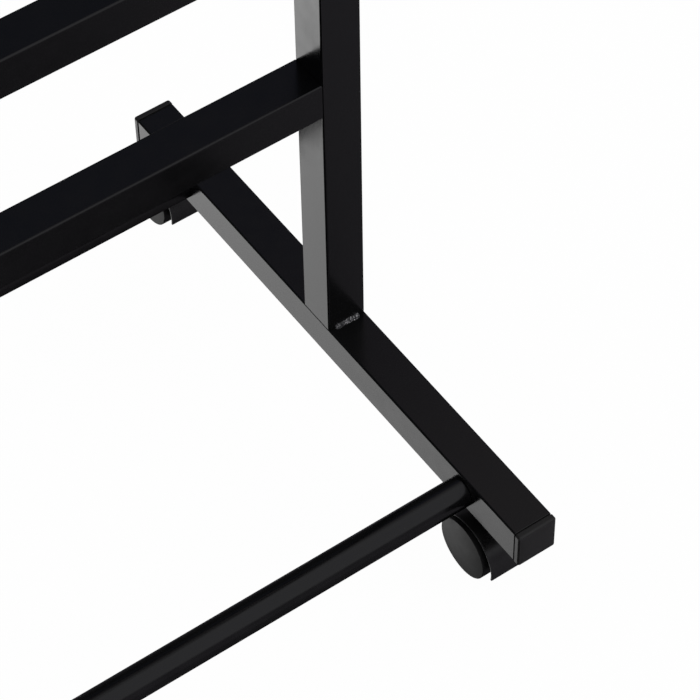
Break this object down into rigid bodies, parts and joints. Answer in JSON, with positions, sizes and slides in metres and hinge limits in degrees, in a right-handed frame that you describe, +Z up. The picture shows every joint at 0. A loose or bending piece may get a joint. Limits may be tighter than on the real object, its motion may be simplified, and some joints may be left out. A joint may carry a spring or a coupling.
{
  "type": "background support stand",
  "caption": "Rolling frame of black square tube with long feet on hooded twin-wheel casters, bolted crossbars, round rails and a lift-out roll bar that carries a studio background.",
  "frame": {"origin": "on the floor under the middle of the stand", "axes": "+Z up, -Y towards the front rail, +X to the right seen from the front"},
  "size_m": [1.5212, 0.6228, 2],
  "materials": {
    "frame_coat": "satin black powder coat",
    "weld_coat": "coated weld bead",
    "cap_plastic": "black polyethylene",
    "hood_plastic": "black nylon",
    "wheel_nylon": "matte dark grey nylon",
    "zinc_steel": "zinc plated"
  },
  "bodies": {
    "frame": {"foot_left": "frame_coat", "post_left": "frame_coat", "post_weld_left": "weld_coat", "foot_cap_front_left": "cap_plastic", "foot_cap_back_left": "cap_plastic", "post_cap_left": "cap_plastic", "crossbar_bolts_left": "zinc_steel", "roll_hook_left": "frame_coat", "foot_right": "frame_coat", "post_right": "frame_coat", "post_weld_right": "weld_coat", "foot_cap_front_right": "cap_plastic", "foot_cap_back_right": "cap_plastic", "post_cap_right": "cap_plastic", "crossbar_bolts_right": "zinc_steel", "roll_hook_right": "frame_coat", "lower_crossbar": "frame_coat", "middle_crossbar": "frame_coat", "top_crossbar": "frame_coat", "crossbar_end_plates": "frame_coat", "front_rail": "frame_coat", "back_rail": "frame_coat", "rail_plugs": "zinc_steel", "rail_bolts": "zinc_steel", "caster_weld_nuts": "zinc_steel", "hook_bolts": "zinc_steel", "hook_nuts": "zinc_steel", "front_left_caster_stem": "zinc_steel", "front_left_caster_ring": "zinc_steel", "front_right_caster_stem": "zinc_steel", "front_right_caster_ring": "zinc_steel", "back_left_caster_stem": "zinc_steel", "back_left_caster_ring": "zinc_steel", "back_right_caster_stem": "zinc_steel", "back_right_caster_ring": "zinc_steel"},
    "roll_bar": {"roll_bar": "frame_coat", "roll_bar_plug_left": "cap_plastic", "roll_bar_plug_right": "cap_plastic"},
    "front_left_caster": {"front_left_caster_hood": "hood_plastic", "front_left_caster_axle": "zinc_steel"},
    "front_left_wheel_left": {"front_left_wheel_left": "wheel_nylon"},
    "front_left_wheel_right": {"front_left_wheel_right": "wheel_nylon"},
    "front_right_caster": {"front_right_caster_hood": "hood_plastic", "front_right_caster_axle": "zinc_steel"},
    "front_right_wheel_left": {"front_right_wheel_left": "wheel_nylon"},
    "front_right_wheel_right": {"front_right_wheel_right": "wheel_nylon"},
    "back_left_caster": {"back_left_caster_hood": "hood_plastic", "back_left_caster_axle": "zinc_steel"},
    "back_left_wheel_left": {"back_left_wheel_left": "wheel_nylon"},
    "back_left_wheel_right": {"back_left_wheel_right": "wheel_nylon"},
    "back_right_caster": {"back_right_caster_hood": "hood_plastic", "back_right_caster_axle": "zinc_steel"},
    "back_right_wheel_left": {"back_right_wheel_left": "wheel_nylon"},
    "back_right_wheel_right": {"back_right_wheel_right": "wheel_nylon"}
  },
  "joints": [
    {"name": "front_left_swivel", "type": "hinge", "parent": "frame", "child": "front_left_caster", "pos_m": [-0.73, -0.26, 0.05], "axis": [0, 0, 1], "continuous": true},
    {"name": "front_left_wheel_left_spin", "type": "hinge", "parent": "front_left_caster", "child": "front_left_wheel_left", "pos_m": [-0.73, -0.2372, 0.0315], "axis": [1, 0, 0], "continuous": true},
    {"name": "front_left_wheel_right_spin", "type": "hinge", "parent": "front_left_caster", "child": "front_left_wheel_right", "pos_m": [-0.73, -0.2372, 0.0315], "axis": [1, 0, 0], "continuous": true},
    {"name": "front_right_swivel", "type": "hinge", "parent": "frame", "child": "front_right_caster", "pos_m": [0.73, -0.26, 0.05], "axis": [0, 0, 1], "continuous": true},
    {"name": "front_right_wheel_left_spin", "type": "hinge", "parent": "front_right_caster", "child": "front_right_wheel_left", "pos_m": [0.73, -0.2372, 0.0315], "axis": [1, 0, 0], "continuous": true},
    {"name": "front_right_wheel_right_spin", "type": "hinge", "parent": "front_right_caster", "child": "front_right_wheel_right", "pos_m": [0.73, -0.2372, 0.0315], "axis": [1, 0, 0], "continuous": true},
    {"name": "back_left_swivel", "type": "hinge", "parent": "frame", "child": "back_left_caster", "pos_m": [-0.73, 0.26, 0.05], "axis": [0, 0, 1], "continuous": true},
    {"name": "back_left_wheel_left_spin", "type": "hinge", "parent": "back_left_caster", "child": "back_left_wheel_left", "pos_m": [-0.73, 0.2828, 0.0315], "axis": [1, 0, 0], "continuous": true},
    {"name": "back_left_wheel_right_spin", "type": "hinge", "parent": "back_left_caster", "child": "back_left_wheel_right", "pos_m": [-0.73, 0.2828, 0.0315], "axis": [1, 0, 0], "continuous": true},
    {"name": "back_right_swivel", "type": "hinge", "parent": "frame", "child": "back_right_caster", "pos_m": [0.73, 0.26, 0.05], "axis": [0, 0, 1], "continuous": true},
    {"name": "back_right_wheel_left_spin", "type": "hinge", "parent": "back_right_caster", "child": "back_right_wheel_left", "pos_m": [0.73, 0.2828, 0.0315], "axis": [1, 0, 0], "continuous": true},
    {"name": "back_right_wheel_right_spin", "type": "hinge", "parent": "back_right_caster", "child": "back_right_wheel_right", "pos_m": [0.73, 0.2828, 0.0315], "axis": [1, 0, 0], "continuous": true},
    {"name": "roll_bar_lift", "type": "slide", "parent": "frame", "child": "roll_bar", "axis": [0, 0, 1], "range_m": [0, 0.08]}
  ]
}
